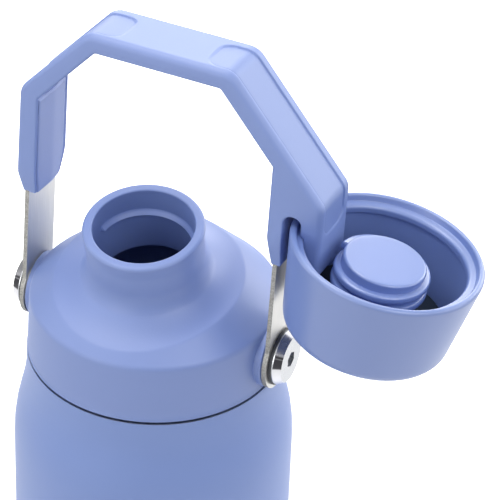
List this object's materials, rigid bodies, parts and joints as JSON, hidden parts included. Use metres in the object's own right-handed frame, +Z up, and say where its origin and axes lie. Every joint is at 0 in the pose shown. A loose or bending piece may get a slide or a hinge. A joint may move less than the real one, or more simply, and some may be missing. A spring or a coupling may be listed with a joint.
{
  "type": "vacuum-insulated water jug",
  "caption": "Tall insulated steel water jug with a screw lid, a tilted drinking spout, a swinging strap handle and a screw cap hanging on the handle's side dock.",
  "frame": {"origin": "centre of the flat underside of the base", "axes": "+Z up along the bottle's axis; the spout tilts towards -Y, the drinking side; the handle turns about +X; the dock and the hanging cap are on the +X side"},
  "size_m": [0.1614, 0.096, 0.3715],
  "materials": {
    "powder_coat": "fine-textured matte powder coat in soft periwinkle blue",
    "bare_steel": "brushed stainless steel",
    "turned_steel": "turned stainless steel",
    "strap_steel": "satin stainless strip",
    "moulded_plastic": "matte moulded plastic in soft periwinkle blue",
    "soft_grip": "soft-touch pad in the same blue",
    "seal_rubber": "matte silicone",
    "washer_plastic": "dark acetal",
    "seal_glass": "fused sealing bead",
    "brass": "plain brass"
  },
  "bodies": {
    "bottle": {"outer_shell": "powder_coat", "inner_liner": "bare_steel", "inner_base": "bare_steel", "outer_base": "bare_steel", "vacuum_seal_bead": "seal_glass", "base_cover": "powder_coat", "getter_pellet": "bare_steel"},
    "lid_seal": {"lid_gasket": "seal_rubber"},
    "lid": {"lid_collar": "moulded_plastic", "lid_core": "moulded_plastic", "threaded_inserts": "brass", "pivot_screws": "turned_steel", "pivot_washers": "washer_plastic", "friction_washers": "bare_steel", "pivot_bushes": "washer_plastic"},
    "handle": {"handle_grip": "moulded_plastic", "strap_left": "strap_steel", "strap_right": "strap_steel", "strap_rivets": "turned_steel", "leg_cover_left": "moulded_plastic", "leg_cover_right": "moulded_plastic", "grip_pad_left": "soft_grip", "grip_pad_right": "soft_grip"},
    "cap": {"cap_shell": "moulded_plastic", "cap_core": "moulded_plastic", "cap_gasket": "seal_rubber"}
  },
  "joints": [
    {"name": "lid_lift", "type": "slide", "parent": "bottle", "child": "lid_seal", "axis": [0, 0, 1], "range_m": [0, 0.0101]},
    {"name": "lid_turn", "type": "hinge", "parent": "lid_seal", "child": "lid", "pos_m": [0, 0, 0.255], "axis": [0, 0, 1], "range_deg": [0, 720]},
    {"name": "handle_swing", "type": "hinge", "parent": "lid", "child": "handle", "pos_m": [0, 0, 0.2662], "axis": [1, 0, 0], "range_deg": [-120, 130]},
    {"name": "cap_slide", "type": "slide", "parent": "handle", "child": "cap", "axis": [0, -0.0872, -0.9962], "range_m": [0, 0.0148]}
  ],
  "couplings": [
    {"joint": "lid_lift", "follows": "lid_turn", "m_per_rad": 0.00079577}
  ]
}
